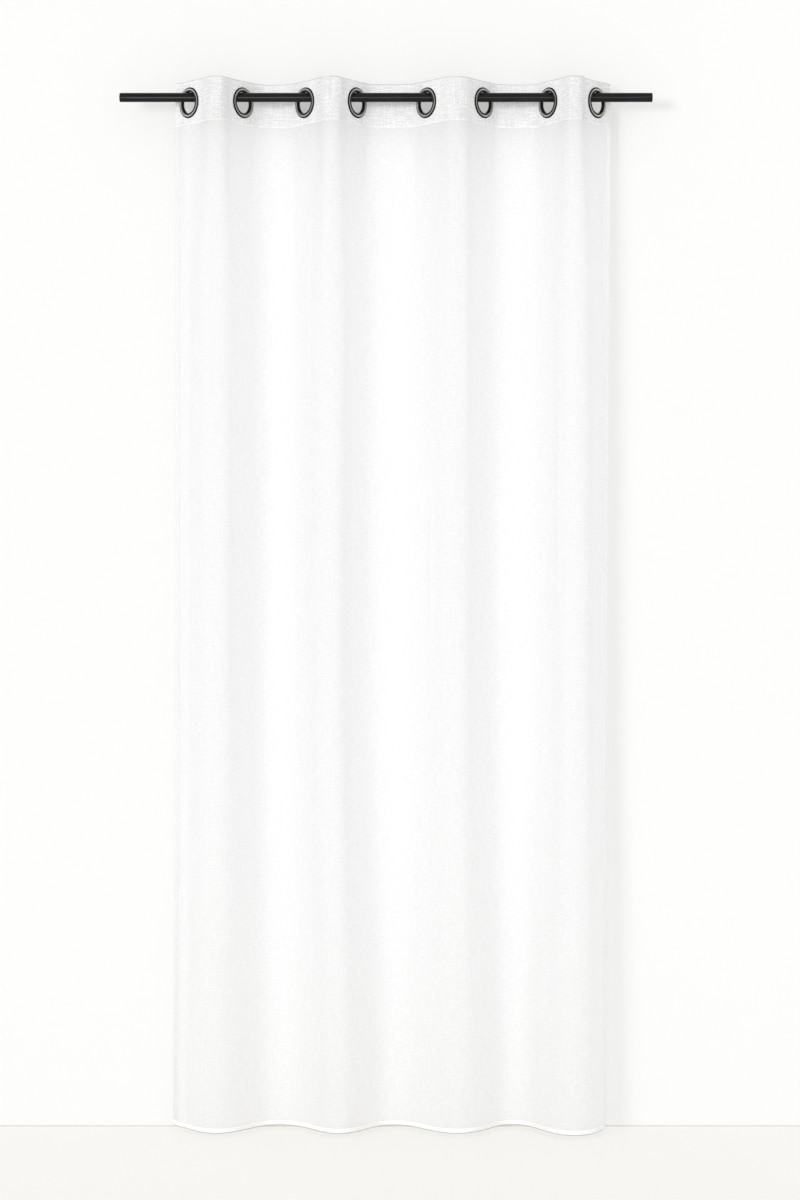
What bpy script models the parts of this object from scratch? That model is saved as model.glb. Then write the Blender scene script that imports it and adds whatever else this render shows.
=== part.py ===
"""Sheer eyelet curtain on its rod.

Metres, +Z up. The origin is the middle of the rod's axis, +X runs along the rod to the right, and the
front of the curtain faces -Y. The cloth weaves through the rod's line: it passes in front of the rod after
the first eyelet, behind it after the second, and so on, so each eyelet sits on a slope of the wave.
"""

import math
from collections import namedtuple

import bmesh
import bpy
from mathutils import Vector

GAP = 0.0003  # between pieces that meet

# Rod
ROD_LENGTH = 1.220
ROD_RADIUS = 0.0105
ROD_END_ROUNDING = 0.0016
ROD_SIDES = 32

# Eyelets: turned rings of two halves
EYELET_OUTER_RADIUS = 0.035
EYELET_BORE_RADIUS = 0.024
EYELET_BARREL_WALL = 0.0012
EYELET_FLANGE_HEIGHT = 0.0026
EYELET_EDGE_HEIGHT = 0.0013
EYELET_EDGE_ROUNDING = 0.002
EYELET_INNER_ROUNDING = 0.0015
EYELET_SIDES = 24
EYELET_PLAY = 0.0012  # the bore's top above the rod's, since a slanted ring meets the rod beside its top
EYELET_CENTRE_Z = ROD_RADIUS + EYELET_PLAY - EYELET_BORE_RADIUS

# Cloth
HEADING_HEIGHT = 0.100
TOP_EDGE_Z = EYELET_CENTRE_Z + HEADING_HEIGHT / 2
DROP = 2.400  # top edge to hem
HEADING_THICKNESS = 0.0016
VOILE_THICKNESS = 0.0012
HEM_HEIGHT = 0.009
HEM_THICKNESS = 0.0032
HEM_ROUNDING = 0.0015
SIDE_HEM_WIDTH = 0.011
SIDE_HEM_THICKNESS = 0.0022
HEM_STEP = 0.001  # width of the step from the voile up to a hem
CORNER_LIFT = 0.006  # how far the hem curls up at each lower corner
CORNER_LENGTH = 0.022  # cloth over which it does so
EYELET_SEAT = 0.036  # cloth kept flat on each side of an eyelet's centre
SEAT_FADES_AT = 0.50  # drop below which the folds are fully round
FOLDS_DRIFT_FROM = 1.30  # drop below which the folds drift sideways to their places at the hem
WAVE_STEEPNESS = 1.35  # slope at the wave's middle over the slope from turn to turn
CLOTH_PER_CHORD = 1.04  # cloth in half a fold over the straight distance across it
PANEL_ROWS = 16

# One row for each eyelet: its place along the rod, the places of the same slope below the heading and at
# the hem, the degrees between the ring and the rod seen from above, and how far the turn that follows it
# stands out from the rod's line, at the rod and at the hem. The turns stand out to the front and to the
# back by turns.
Fold = namedtuple("Fold", "on_rod below at_hem ring_angle turn_at_rod turn_at_hem")
FOLDS = (
    Fold(-0.450, -0.450, -0.452, 48, 0.066, 0.056),
    Fold(-0.328, -0.330, -0.318, 52, 0.051, 0.050),
    Fold(-0.185, -0.185, -0.170, 50, 0.064, 0.058),
    Fold(-0.067, -0.074, -0.047, 53, 0.043, 0.048),
    Fold(0.093, 0.090, 0.089, 50, 0.060, 0.056),
    Fold(0.223, 0.213, 0.232, 51, 0.048, 0.052),
    Fold(0.372, 0.369, 0.356, 56, 0.070, 0.082),
    Fold(0.482, 0.480, 0.497, 51, None, None),
)

# Side edges of the cloth: places along the rod, and the drops between which the edge runs from one to the
# other; then places behind the rod's line, and the degrees between the cloth and the rod, at the rod and
# at the hem
Edge = namedtuple(
    "Edge", "on_rod at_hem leaves_at arrives_at behind_rod behind_hem angle_at_rod angle_at_hem"
)
LEFT_EDGE = Edge(-0.484, -0.490, 1.5, 2.2, 0.031, 0.038, 8, 32)
RIGHT_EDGE = Edge(0.517, 0.5065, 0.1, 1.7, 0.040, 0.036, 28, 60)

# Shares of the cloth from an eyelet to the next turn at which the sheet has a column of points
COLUMN_SHARES = (0.4, 0.6, 0.8, 1.0)

# A place that the cloth passes: where it is, its direction there, and the straight cloth on each side of it
Station = namedtuple("Station", "place direction lead")


def clear_scene():
    for old in list(bpy.data.objects):
        bpy.data.objects.remove(old, do_unlink=True)


def smooth_step(low, high, value):
    share = min(max((value - low) / (high - low), 0.0), 1.0)
    return share * share * (3 - 2 * share)


def mix(first, second, share):
    return first + (second - first) * share


def material(name, colour, roughness, metallic=0.0):
    made = bpy.data.materials.new(name)
    made.use_nodes = True
    shader = made.node_tree.nodes["Principled BSDF"]
    shader.inputs["Base Color"].default_value = (*colour, 1.0)
    shader.inputs["Roughness"].default_value = roughness
    shader.inputs["Metallic"].default_value = metallic
    made.diffuse_color = (*colour, 1.0)
    return made


def object_from(name, mesh, finish):
    mesh.materials.append(finish)
    made = bpy.data.objects.new(name, mesh)
    bpy.context.collection.objects.link(made)
    return made


def direction(angle):
    return Vector((math.cos(angle), math.sin(angle)))


def forwards(number):
    """The sense in Y in which the cloth runs on from this eyelet: towards the front from the first one."""
    return -1 if number % 2 == 0 else 1


def crossing_angle(before, after):
    """The cloth's angle to the rod where it crosses the wave's middle line."""
    return WAVE_STEEPNESS * math.atan2(abs(after.y - before.y), after.x - before.x)


def edge_station(edge, sense, drop, drift):
    run = min(max((drop - edge.leaves_at) / (edge.arrives_at - edge.leaves_at), 0.0), 1.0)
    place = Vector((mix(edge.on_rod, edge.at_hem, run), mix(edge.behind_rod, edge.behind_hem, drift)))
    angle = math.radians(mix(edge.angle_at_rod, edge.angle_at_hem, drift))
    return Station(place, direction(sense * angle), 0.0)


def stations(drop):
    """The places that the cloth passes at this drop: side edge, slope, turn, slope, and so on."""
    drift = smooth_step(FOLDS_DRIFT_FROM, DROP, drop)
    roundness = smooth_step(HEADING_HEIGHT, SEAT_FADES_AT, drop)
    slopes = []
    for fold in FOLDS:
        slopes.append(Vector((mix(mix(fold.on_rod, fold.below, roundness), fold.at_hem, drift), 0.0)))
    turns = []
    for number, fold in enumerate(FOLDS[:-1]):
        depth = forwards(number) * mix(fold.turn_at_rod, fold.turn_at_hem, drift)
        turns.append(Vector(((slopes[number].x + slopes[number + 1].x) / 2, depth)))
    left = edge_station(LEFT_EDGE, -1, drop, drift)
    right = edge_station(RIGHT_EDGE, 1, drop, drift)
    turns = [left.place, *turns, right.place]

    found = [left]
    for number, slope in enumerate(slopes):
        before, after = turns[number], turns[number + 1]
        angle = mix(math.radians(FOLDS[number].ring_angle), crossing_angle(before, after), roundness)
        if 0 < number < len(slopes) - 1:
            slope.y = (before.y + after.y) / 2 * roundness
        found.append(Station(slope, direction(forwards(number) * angle), EYELET_SEAT * (1 - roundness)))
        found.append(Station(after, direction(0.0), 0.0))
    found[-1] = right
    return found


def cloth_between(start, end, share):
    """A point of the cloth from one station to the next: straight beside an eyelet, and one smooth bend."""
    cloth = (end.place - start.place).length * CLOTH_PER_CHORD
    bend = cloth - start.lead - end.lead
    along = share * cloth
    if along <= start.lead:
        return start.place + start.direction * along
    if along >= cloth - end.lead:
        return end.place - end.direction * (cloth - along)
    begin = start.place + start.direction * start.lead
    finish = end.place - end.direction * end.lead
    t = (along - start.lead) / bend
    leave = (t - 2 * t**2 + t**3) * bend
    arrive = (t**3 - t**2) * bend
    turn = 3 * t**2 - 2 * t**3
    return begin * (1 - turn) + finish * turn + start.direction * leave + end.direction * arrive


def edge_shares(start, end):
    """Shares from a side edge to an eyelet: the side hem's inner line, its step, and the eyelet's seat."""
    cloth = (end.place - start.place).length * CLOTH_PER_CHORD
    return SIDE_HEM_WIDTH / cloth, (SIDE_HEM_WIDTH + HEM_STEP) / cloth, 1 - EYELET_SEAT / cloth


def cloth_line(drop):
    """The middle line of the cloth at this drop, as points in plan from the left edge to the right edge."""
    found = stations(drop)
    last = len(found) - 1
    line = [found[0].place]
    for number in range(last):
        start, end = found[number], found[number + 1]
        if number == 0:
            shares = (*edge_shares(start, end), 1.0)
        elif number == last - 1:
            shares = (*(1 - share for share in reversed(edge_shares(start, end))), 1.0)
        elif number % 2 == 1:
            shares = COLUMN_SHARES
        else:
            shares = (*(1 - share for share in reversed(COLUMN_SHARES[:-1])), 1.0)
        line.extend(cloth_between(start, end, share) for share in shares)
    return line


def plan_normals(line):
    """The direction out of the cloth's front at each point of the line."""
    normals = []
    for number in range(len(line)):
        before = line[max(number - 1, 0)]
        after = line[min(number + 1, len(line) - 1)]
        along = (after - before).normalized()
        normals.append(Vector((along.y, -along.x)))
    return normals


def corner_lifts(line):
    """How far each point along the hem is lifted near the two lower corners."""
    places = [0.0]
    for before, after in zip(line, line[1:]):
        places.append(places[-1] + (after - before).length)
    lifts = []
    for place in places:
        from_corner = min(place, places[-1] - place)
        lifts.append(CORNER_LIFT * max(1 - from_corner / CORNER_LENGTH, 0.0) ** 2)
    return lifts


def sheet(name, drops, thicknesses, finish, lifted_from=math.inf):
    """A closed wavy sheet: thicknesses holds one row for each drop, with a thickness for each column.

    The corners are lifted from the drop lifted_from on.
    """
    shape = bmesh.new()
    front, back = [], []
    for drop, row in zip(drops, thicknesses):
        line = cloth_line(drop)
        lifts = corner_lifts(line) if drop >= lifted_from else [0.0] * len(line)
        middle = [(*place, TOP_EDGE_Z - drop + lift) for place, lift in zip(line, lifts)]
        out = [(*(normal * thickness / 2), 0.0) for normal, thickness in zip(plan_normals(line), row)]
        front.append([shape.verts.new(Vector(place) + Vector(step)) for place, step in zip(middle, out)])
        back.append([shape.verts.new(Vector(place) - Vector(step)) for place, step in zip(middle, out)])
    rows, columns = len(drops), len(front[0])
    for row in range(rows - 1):
        for column in range(columns - 1):
            corners = ((row, column), (row + 1, column), (row + 1, column + 1), (row, column + 1))
            shape.faces.new([front[r][c] for r, c in corners])
            shape.faces.new([back[r][c] for r, c in reversed(corners)])
    rim = [(0, column) for column in range(columns)]
    rim += [(row, columns - 1) for row in range(1, rows)]
    rim += [(rows - 1, column) for column in range(columns - 2, -1, -1)]
    rim += [(row, 0) for row in range(rows - 2, 0, -1)]
    for (r, c), (next_r, next_c) in zip(rim, rim[1:] + rim[:1]):
        shape.faces.new([front[r][c], front[next_r][next_c], back[next_r][next_c], back[r][c]])
    bmesh.ops.recalc_face_normals(shape, faces=shape.faces)
    mesh = bpy.data.meshes.new(name)
    shape.to_mesh(mesh)
    shape.free()
    mesh.shade_smooth()
    mesh.set_sharp_from_angle(angle=math.radians(50))
    return object_from(name, mesh, finish)


def panel(finish):
    """The voile below the heading, with a side hem at each edge and a weighted hem at the bottom."""
    top = HEADING_HEIGHT + GAP
    hem_top = DROP - HEM_HEIGHT
    step = (hem_top - HEM_STEP - top) / PANEL_ROWS
    drops = [top + step * row for row in range(PANEL_ROWS + 1)]
    drops += [hem_top, DROP - HEM_ROUNDING, DROP]
    columns = len(cloth_line(top))
    voile = [VOILE_THICKNESS] * columns
    voile[:2] = voile[-2:] = [SIDE_HEM_THICKNESS] * 2
    hem = [HEM_THICKNESS] * columns
    hem_end = [HEM_THICKNESS - HEM_ROUNDING] * columns
    thicknesses = [voile] * (PANEL_ROWS + 1) + [hem, hem, hem_end]
    return sheet("panel", drops, thicknesses, finish, lifted_from=drops[PANEL_ROWS])


def eyelet_places():
    """Each eyelet's place and its turn about the upright axis, from the left."""
    for number, fold in enumerate(FOLDS):
        angle = forwards(number) * math.radians(fold.ring_angle)
        yield number + 1, Vector((fold.on_rod, 0.0, EYELET_CENTRE_Z)), angle


def hole_cutter():
    """Short bars through the heading at the eyelets, a gap wider than the barrels."""
    shape = bmesh.new()
    radius = EYELET_BORE_RADIUS + EYELET_BARREL_WALL + GAP
    for _, place, angle in eyelet_places():
        made = bmesh.ops.create_cone(
            shape,
            cap_ends=True,
            segments=EYELET_SIDES,
            radius1=radius,
            radius2=radius,
            depth=HEADING_THICKNESS * 4,
        )
        axis = Vector((math.sin(angle), -math.cos(angle), 0.0))
        turn = Vector((0.0, 0.0, 1.0)).rotation_difference(axis)
        bmesh.ops.rotate(shape, verts=made["verts"], matrix=turn.to_matrix())
        bmesh.ops.translate(shape, verts=made["verts"], vec=place)
    mesh = bpy.data.meshes.new("heading_holes")
    shape.to_mesh(mesh)
    shape.free()
    cutter = bpy.data.objects.new("heading_holes", mesh)
    bpy.context.collection.objects.link(cutter)
    cutter.hide_render = True
    cutter.display_type = "WIRE"
    return cutter


def heading(finish):
    """The stiffened strip that holds the eyelets."""
    drops = [0.0, HEADING_HEIGHT / 2, HEADING_HEIGHT]
    thicknesses = [[HEADING_THICKNESS] * len(cloth_line(0.0))] * len(drops)
    strip = sheet("heading", drops, thicknesses, finish)
    cut = strip.modifiers.new("eyelet holes", "BOOLEAN")
    cut.operation = "DIFFERENCE"
    cut.object = hole_cutter()
    return strip


def turned_ring(name, profile):
    """A ring turned about the Y axis from a closed profile of (radius, place along the axis)."""
    shape = bmesh.new()
    rings = []
    for step in range(EYELET_SIDES):
        angle = math.pi / 2 + 2 * math.pi * step / EYELET_SIDES
        rings.append([shape.verts.new((r * math.cos(angle), y, r * math.sin(angle))) for r, y in profile])
    points = len(profile)
    for step, ring in enumerate(rings):
        following = rings[(step + 1) % EYELET_SIDES]
        for point in range(points):
            after = (point + 1) % points
            shape.faces.new([ring[point], ring[after], following[after], following[point]])
    bmesh.ops.recalc_face_normals(shape, faces=shape.faces)
    mesh = bpy.data.meshes.new(name)
    shape.to_mesh(mesh)
    shape.free()
    mesh.shade_smooth()
    mesh.set_sharp_from_angle(angle=math.radians(50))
    return mesh


def eyelet_meshes(finish):
    """The front half with its barrel, and the back half that closes round the barrel."""
    seat = HEADING_THICKNESS / 2 + GAP
    edge = seat + EYELET_EDGE_HEIGHT
    face = seat + EYELET_FLANGE_HEIGHT
    barrel = EYELET_BORE_RADIUS + EYELET_BARREL_WALL
    rounded = EYELET_OUTER_RADIUS - EYELET_EDGE_ROUNDING
    front = turned_ring(
        "eyelet_front",
        [
            (EYELET_BORE_RADIUS, face),
            (EYELET_BORE_RADIUS, -edge),
            (EYELET_BORE_RADIUS + EYELET_INNER_ROUNDING, -face),
            (rounded, -face),
            (EYELET_OUTER_RADIUS, -edge),
            (EYELET_OUTER_RADIUS, -seat),
            (barrel, -seat),
            (barrel, face),
        ],
    )
    back = turned_ring(
        "eyelet_back",
        [
            (barrel + GAP, seat),
            (EYELET_OUTER_RADIUS, seat),
            (EYELET_OUTER_RADIUS, edge),
            (rounded, face),
            (barrel + GAP, face),
        ],
    )
    front.materials.append(finish)
    back.materials.append(finish)
    return front, back


def eyelets(finish):
    front, back = eyelet_meshes(finish)
    for number, place, angle in eyelet_places():
        for half, mesh in (("front", front), ("back", back)):
            made = bpy.data.objects.new(f"eyelet_{number}_{half}", mesh)
            bpy.context.collection.objects.link(made)
            made.location = place
            made.rotation_euler = (0.0, 0.0, angle)


def rod(finish):
    """A plain round rod with its two end edges eased."""
    shape = bmesh.new()
    bmesh.ops.create_cone(
        shape,
        cap_ends=True,
        segments=ROD_SIDES,
        radius1=ROD_RADIUS,
        radius2=ROD_RADIUS,
        depth=ROD_LENGTH,
    )
    end_edges = [edge for edge in shape.edges if edge.verts[0].co.z * edge.verts[1].co.z > 0]
    bmesh.ops.bevel(shape, geom=end_edges, offset=ROD_END_ROUNDING, segments=2, profile=0.5, affect="EDGES")
    mesh = bpy.data.meshes.new("rod")
    shape.to_mesh(mesh)
    shape.free()
    mesh.shade_smooth()
    mesh.set_sharp_from_angle(angle=math.radians(50))
    made = object_from("rod", mesh, finish)
    made.rotation_euler = (0.0, math.pi / 2, 0.0)
    return made


def main():
    clear_scene()
    voile = material("white voile", (0.90, 0.90, 0.89), 0.9)
    gunmetal = material("gunmetal", (0.16, 0.155, 0.15), 0.35, metallic=0.9)
    black_paint = material("black painted steel", (0.012, 0.012, 0.013), 0.4)
    panel(voile)
    heading(voile)
    eyelets(gunmetal)
    rod(black_paint)


main()
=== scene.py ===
"""The looks of a sheer eyelet curtain on its rod, in metres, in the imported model's frame.

The folds come from the same table and functions as the model's own source, read at finer steps. The
panel and the heading are thin sheets with their hems turned back, and the eyelets and the rod are turned.
"""

import math
from collections import namedtuple

import bmesh
import bpy
import numpy as np
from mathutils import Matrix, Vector

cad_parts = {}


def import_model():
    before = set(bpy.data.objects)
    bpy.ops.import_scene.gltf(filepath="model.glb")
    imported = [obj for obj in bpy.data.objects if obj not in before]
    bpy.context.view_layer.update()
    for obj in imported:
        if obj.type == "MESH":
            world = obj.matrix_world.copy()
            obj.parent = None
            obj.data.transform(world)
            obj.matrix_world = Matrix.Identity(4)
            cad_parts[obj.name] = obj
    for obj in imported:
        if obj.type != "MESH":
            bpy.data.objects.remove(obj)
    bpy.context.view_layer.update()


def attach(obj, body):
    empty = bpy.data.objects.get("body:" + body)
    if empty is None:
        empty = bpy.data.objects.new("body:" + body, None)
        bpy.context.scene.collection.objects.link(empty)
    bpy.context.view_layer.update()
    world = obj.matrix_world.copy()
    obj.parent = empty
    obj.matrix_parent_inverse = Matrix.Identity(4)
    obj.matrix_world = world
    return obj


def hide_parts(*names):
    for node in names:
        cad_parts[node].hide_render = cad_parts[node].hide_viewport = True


# Rod
ROD_LENGTH = 1.220
ROD_RADIUS = 0.0105
ROD_SIDES = 96
ROD_RINGS = 24

# Eyelets
EYELET_BORE_RADIUS = 0.024
EYELET_PLAY = 0.0012
EYELET_CENTRE_Z = ROD_RADIUS + EYELET_PLAY - EYELET_BORE_RADIUS
EYELET_SIDES = 72
HOLE_RADIUS = 0.0285  # cloth cut away under the flanges

# Cloth
HEADING_HEIGHT = 0.100
TOP_EDGE_Z = EYELET_CENTRE_Z + HEADING_HEIGHT / 2
DROP = 2.400
HEM_HEIGHT = 0.009
SIDE_HEM_WIDTH = 0.011
CORNER_LIFT = 0.006
CORNER_LENGTH = 0.022
EYELET_SEAT = 0.036
SEAT_FADES_AT = 0.50
FOLDS_DRIFT_FROM = 1.30
WAVE_STEEPNESS = 1.35
CLOTH_PER_CHORD = 1.04
CREST_HOLDS = 0.45  # how much further a crest runs on before it bends to the right, above the hem
VALLEY_HOLDS = 0.30  # how much further the cloth runs flat into a valley from the left

# One row for each eyelet: its place along the rod, the places of the same slope below the heading and at
# the hem, the ring's degrees from the rod, and how far the next turn stands out, at the rod and the hem
Fold = namedtuple("Fold", "on_rod below at_hem ring_angle turn_at_rod turn_at_hem")
FOLDS = (
    Fold(-0.450, -0.450, -0.452, 48, 0.066, 0.056),
    Fold(-0.328, -0.330, -0.318, 52, 0.051, 0.050),
    Fold(-0.185, -0.185, -0.170, 50, 0.064, 0.058),
    Fold(-0.067, -0.074, -0.047, 53, 0.043, 0.048),
    Fold(0.093, 0.090, 0.089, 50, 0.060, 0.056),
    Fold(0.223, 0.213, 0.232, 51, 0.048, 0.052),
    Fold(0.372, 0.369, 0.356, 56, 0.070, 0.082),
    Fold(0.482, 0.480, 0.497, 51, None, None),
)
Edge = namedtuple(
    "Edge", "on_rod at_hem leaves_at arrives_at behind_rod behind_hem angle_at_rod angle_at_hem"
)
LEFT_EDGE = Edge(-0.484, -0.490, 1.5, 2.2, 0.031, 0.038, 8, 32)
RIGHT_EDGE = Edge(0.517, 0.5065, 0.1, 1.7, 0.040, 0.036, 28, 60)
Station = namedtuple("Station", "place direction lead hold")

# Fine sheets
HALF_FOLD_STEPS = 16
PANEL_COLUMNS = 384
PANEL_STEP = 0.016
PANEL_TUCK = 0.003  # how far the panel runs up behind the heading's seam
BACK_SHIFT = 0.01  # moves the weave of the lower hem's back layer, so that it doesn't repeat the front's
SIDE_BACK_SHIFT = 0.03  # the same, sideways, where the cloth stands back by more than the next number
SIDE_BACK_FROM = -0.0004
HEADING_BACK_SHIFT = 0.2
CREASES_END = (0.05, 0.02)  # the creases fade over this height above the lower edge
CORNERS_START = 0.04  # the corners of the hem are rounded from this height
HEADING_STEP = 0.0026
HEADING_ROWS = 35  # on each face, between the top fold and the seam
HEADING_BODY = (0.0034, 0.0930)
HEADING_BACK_FOOT = 0.0950
HEADING_INSET = 0.0012
HEADING_RIM = 0.0003
RIM_THICKNESS = (0.25, 0.75)  # shares of the heading's thickness, at its side edge and one rim in
RIPPLE_CLEAR = 0.036  # no puckers within this distance of an eyelet's centre
RIPPLE_FADE = 0.012
FINE_RIPPLE = 0.00016
BROAD_RIPPLE = 0.00030
RIPPLED = (0.003, 0.094)  # the drops between which the heading is puckered

# Soft creases in the panel: metres of cloth from the left edge, the drops between which
# the crease shows, how far it leans sideways over that drop, its height out of the cloth, and its width
Crease = namedtuple("Crease", "along top bottom lean height width")
CREASES = (
    Crease(0.441, 0.25, 0.82, 0.002, 0.0015, 0.0050),
    Crease(0.815, 0.86, 1.30, 0.001, 0.0015, 0.0050),
    Crease(1.212, 0.64, 1.20, -0.002, 0.0010, 0.0050),
    Crease(0.366, 0.10, 0.55, 0.004, 0.0010, 0.006),
    Crease(0.075, 0.30, 1.70, -0.010, 0.0006, 0.012),
    Crease(0.133, 0.10, 0.85, 0.006, -0.0007, 0.011),
    Crease(0.191, 0.10, 1.05, 0.004, 0.0009, 0.009),
    Crease(0.300, 0.22, 0.95, -0.006, 0.0007, 0.009),
    Crease(0.478, 0.10, 0.70, 0.010, -0.0007, 0.010),
    Crease(0.545, 0.10, 0.95, 0.004, 0.0008, 0.009),
    Crease(0.650, 0.50, 1.60, 0.010, 0.0006, 0.012),
    Crease(0.716, 1.00, 1.62, -0.004, 0.0008, 0.008),
    Crease(0.852, 0.10, 0.80, 0.010, -0.0007, 0.011),
    Crease(0.906, 0.10, 0.90, 0.004, 0.0008, 0.009),
    Crease(1.040, 0.75, 1.45, 0.004, 0.0008, 0.008),
    Crease(1.085, 0.10, 0.90, 0.006, -0.0006, 0.012),
    Crease(1.249, 0.12, 1.30, 0.004, 0.0008, 0.009),
    Crease(0.190, 1.30, 2.30, 0.010, 0.0007, 0.014),
    Crease(0.519, 1.45, 2.35, 0.008, 0.0008, 0.013),
    Crease(0.885, 1.40, 2.36, 0.008, 0.0007, 0.013),
    Crease(1.150, 1.50, 2.34, -0.012, 0.0006, 0.014),
)

# The side hem's section: metres in from the side edge, and out of the cloth towards the front
Turn = namedtuple("Turn", "along out")
SIDE_HEM = (
    Turn(0.0112, -0.0006),
    Turn(0.0095, -0.0010),
    Turn(0.0060, -0.0010),
    Turn(0.0028, -0.0010),
    Turn(0.0009, -0.0009),
    Turn(0.0002, -0.0005),
    Turn(0.0000, 0.0000),
    Turn(0.0003, 0.0005),
    Turn(0.0012, 0.0008),
    Turn(0.0040, 0.0008),
    Turn(0.0080, 0.0008),
    Turn(0.0106, 0.0007),
    Turn(0.0118, 0.0001),
)

# The weighted hem's section, from the front round the cord to the back: metres above the hem's lower
# edge, and out of the cloth towards the front
Roll = namedtuple("Roll", "up out")
BOTTOM_HEM = (
    Roll(0.0134, 0.0000),
    Roll(0.0121, 0.0000),
    Roll(0.0107, 0.0000),
    Roll(0.0096, 0.0002),
    Roll(0.0090, 0.0007),
    Roll(0.0076, 0.0010),
    Roll(0.0058, 0.0014),
    Roll(0.0040, 0.0017),
    Roll(0.0024, 0.0016),
    Roll(0.0010, 0.0011),
    Roll(0.0002, 0.0005),
    Roll(0.0000, 0.0000),
    Roll(0.0002, -0.0005),
    Roll(0.0010, -0.0011),
    Roll(0.0024, -0.0016),
    Roll(0.0040, -0.0017),
    Roll(0.0058, -0.0014),
    Roll(0.0076, -0.0011),
    Roll(0.0090, -0.0010),
    Roll(0.0095, -0.0007),
)

# The heading's section, from its lower edge at the back over the top fold to the seam at the front:
# metres below the top edge, and out of the cloth towards the front
Layer = namedtuple("Layer", "down out")
HEADING_BACK = (
    Layer(0.1000, -0.0003),
    Layer(0.0994, -0.0009),
    Layer(0.0975, -0.0010),
    Layer(0.0962, -0.0007),
)
HEADING_TOP_BACK = (Layer(0.0022, -0.0008), Layer(0.0008, -0.0007), Layer(0.0002, -0.0004))
HEADING_TOP_FRONT = (
    Layer(0.0000, 0.0),
    Layer(0.0002, 0.0004),
    Layer(0.0008, 0.0007),
    Layer(0.0022, 0.0008),
)
HEADING_SEAM = (
    Layer(0.0940, 0.0008),
    Layer(0.0955, 0.0005),
    Layer(0.0966, 0.0009),
    Layer(0.0980, 0.0012),
    Layer(0.0994, 0.0011),
    Layer(0.1002, 0.0005),
    Layer(0.1003, -0.0001),
)
HEADING_LAYER = 0.0008  # how far each layer's main part stands out

# Tones, painted into the cloth's colour: painted shade on the front of each fold, just inside the left side
# hem, along its edges, above and under the lower hem and along the heading's top fold, and a painted
# highlight on its creases with painted shade where a crease dips in. Doubled is how far a hem covers what
# lies behind it.
# Painted highlight on each crease and painted shade where one dips in
CREASE_LIGHT = 12.0  # for each metre that a crease stands out
# Painted shade on the front of each fold, in the panel and in the heading
PANEL_CREST_SHADE = 0.045
PANEL_CREST_WIDTH = 0.055
# Painted shade on the cloth just inside the left side hem
LEFT_SHADE_AT = 0.012
LEFT_SHADE_WIDTH = 0.016
LEFT_SHADE_SHARE = 1.5
HEADING_CREST_SHADE = 0.100
HEADING_CREST_WIDTH = 0.036
# Painted shade along the cloth's side edges, and with the same width under its lower edge
EDGE_WIDTH = 0.0011  # at the sides and along the lower edge
EDGE_SHADE = 0.90
HEM_BAND = 0.0110  # metres up from the lower edge, where the hem is doubled
# Painted shade on the cloth just above the rolled hem
HEM_LINE = 0.0130  # up to here, the cloth above the band is a little greyer
HEM_LINE_SHADE = 0.92
# Painted shade on the underside of the rolled hem
UNDER_SHADE = 0.42
# The side hems are sewn alike: the left one's smaller share is painted shade, where the key light from the
# left falls on it
LEFT_HEM_DOUBLED = 0.10
RIGHT_HEM_DOUBLED = 0.35
SEAM_DOUBLED = 0.3
SEAM_DOUBLED_FROM = 0.0960
DOUBLED_WHITE = (0.97, 0.97, 0.97)
SLUB_RANGE = 1.6  # how far the slubs' patterns can add up, to each side of 0
# Painted shade along the heading's top fold
TOP_EDGE_WIDTH = 0.0020
TOP_EDGE_SHADE = 0.66

# Stitches: length along the line, pitch, and thickness
STITCH_LENGTH = 0.0024
STITCH_PITCH = 0.0033
STITCH_THICKNESS = 0.00042
STITCH_SHOULDER = 0.55  # of half its length
HEM_STITCHES_UP = 0.0082
HEM_STITCHES_OUT = (0.0010, -0.0012)
SEAM_STITCHES_DOWN = 0.0955
SEAM_STITCHES_OUT = (0.0007, -0.0009)
SIDE_STITCHES = ((0.0096, 0.0009), (0.0092, -0.0012))  # metres in from the edge, and out of the cloth
SIDE_STITCHES_CLEAR = (0.004, 0.003)  # of the heading and of the lower hem

# Eyelet sections: radius, height above the cloth's middle, and how pale the metal is there: partly its
# finish, partly a painted highlight on the flange's crown and painted shade on the rims and in the barrel
Ring = namedtuple("Ring", "radius height pale")
EYELET_FRONT = (
    Ring(0.0252, -0.0034, 0.08),
    Ring(0.0249, -0.0037, 0.10),
    Ring(0.0244, -0.0036, 0.08),
    Ring(0.0240, -0.0029, 0.04),
    Ring(0.0240, 0.0016, 0.0),
    Ring(0.0240, 0.0026, 0.0),
    Ring(0.0243, 0.0033, 0.05),
    Ring(0.0250, 0.0037, 0.10),
    Ring(0.0259, 0.0036, 0.08),
    Ring(0.0267, 0.0032, 0.0),
    Ring(0.0273, 0.0027, 0.0),
    Ring(0.0278, 0.0027, 0.20),
    Ring(0.0284, 0.0031, 0.90),
    Ring(0.0294, 0.0035, 1.0),
    Ring(0.0306, 0.0037, 1.0),
    Ring(0.0316, 0.0036, 0.85),
    Ring(0.0323, 0.0034, 0.05),
    Ring(0.0332, 0.0029, 0.0),
    Ring(0.0340, 0.0024, 0.0),
    Ring(0.0346, 0.0022, 0.0),
    Ring(0.0350, 0.0017, 0.0),
    Ring(0.0350, 0.0011, 0.0),
    Ring(0.0300, 0.0011, 0.0),
    Ring(0.0262, 0.0011, 0.0),
    Ring(0.0252, 0.0008, 0.0),
)
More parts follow.
